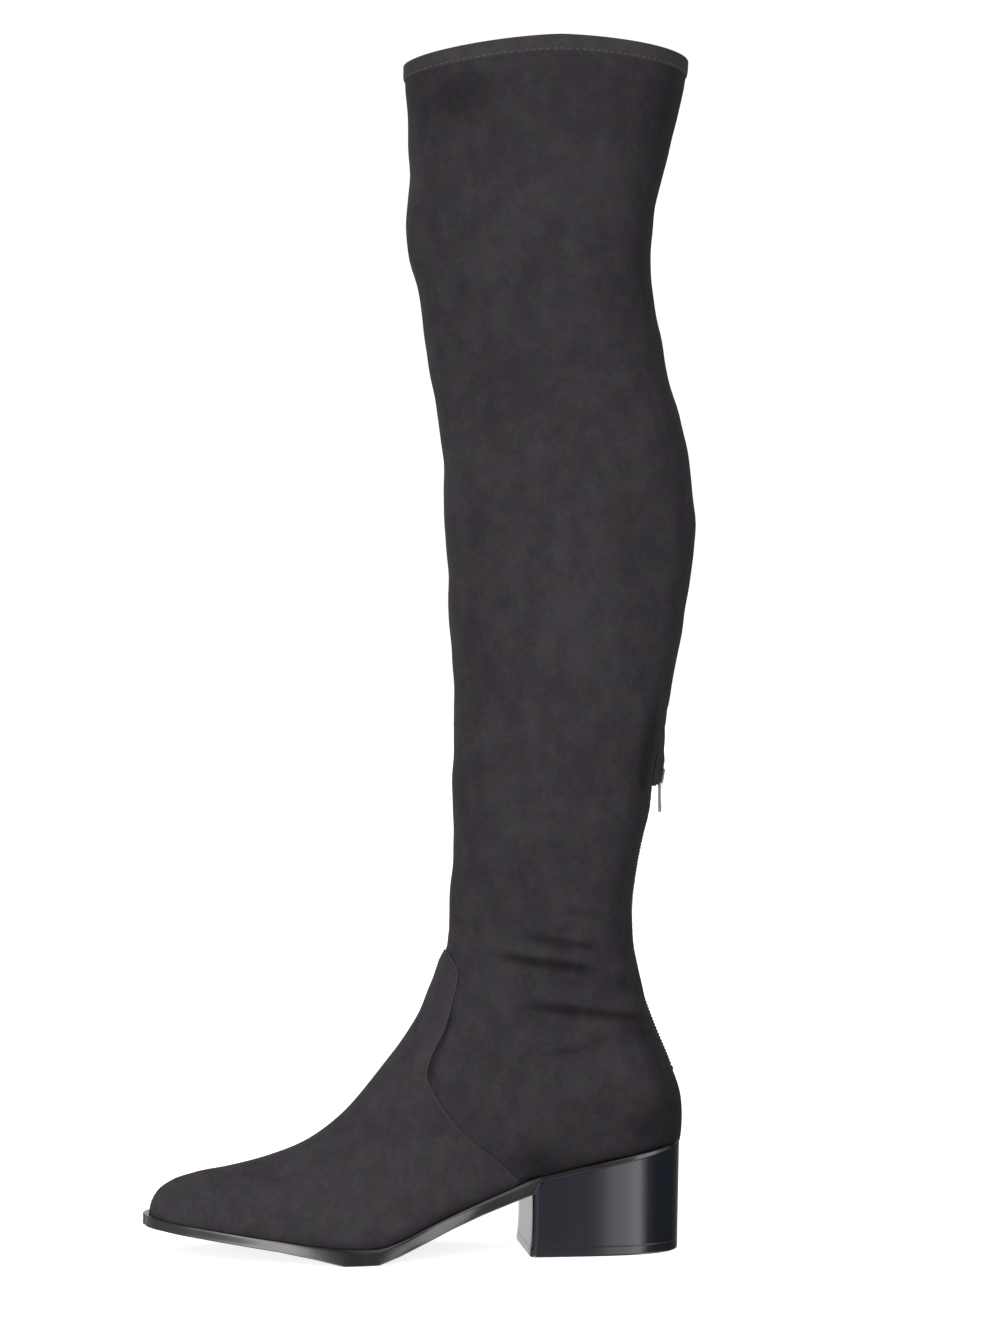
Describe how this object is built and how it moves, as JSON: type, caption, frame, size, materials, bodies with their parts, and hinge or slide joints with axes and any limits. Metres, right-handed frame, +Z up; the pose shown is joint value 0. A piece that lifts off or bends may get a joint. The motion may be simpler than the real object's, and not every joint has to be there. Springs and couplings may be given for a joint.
{
  "type": "over-the-knee boot",
  "caption": "Left over-the-knee boot: stretch-suede sleeve with a vamp overlay, almond toe, low glossy block heel and a short back zip.",
  "frame": {"origin": "middle of the boot's outline seen from above, on the surface that the sole and heel stand on", "axes": "+Z up along the shaft, -Y towards the toe, +X towards the outer side of the left foot"},
  "size_m": [0.113, 0.2558, 0.5559],
  "materials": {
    "suede": "black microsuede with a short nap, matte",
    "lining": "dark grey knitted lining and sock, matte",
    "sole_finish": "black sole with a polished edge",
    "heel_lacquer": "black lacquered heel, high gloss",
    "tread_rubber": "black rubber, satin",
    "zip_tape": "black woven tape and nylon coil",
    "zip_metal": "silver coloured zinc casting, polished"
  },
  "bodies": {
    "boot": {"upper": "suede", "vamp": "suede", "collar_hem": "suede", "insole": "lining", "outsole": "sole_finish", "heel_block": "heel_lacquer", "heel_top_piece": "tread_rubber", "zip_tape": "zip_tape", "zip_coil": "zip_tape", "zip_garage": "suede", "zip_slider": "zip_metal"},
    "pull": {"zip_pull": "zip_metal"}
  },
  "joints": [
    {"name": "pull_swing", "type": "hinge", "parent": "boot", "child": "pull", "pos_m": [0, 0.11216, 0.22045], "axis": [1, 0, 0], "range_deg": [-14, 150]}
  ]
}
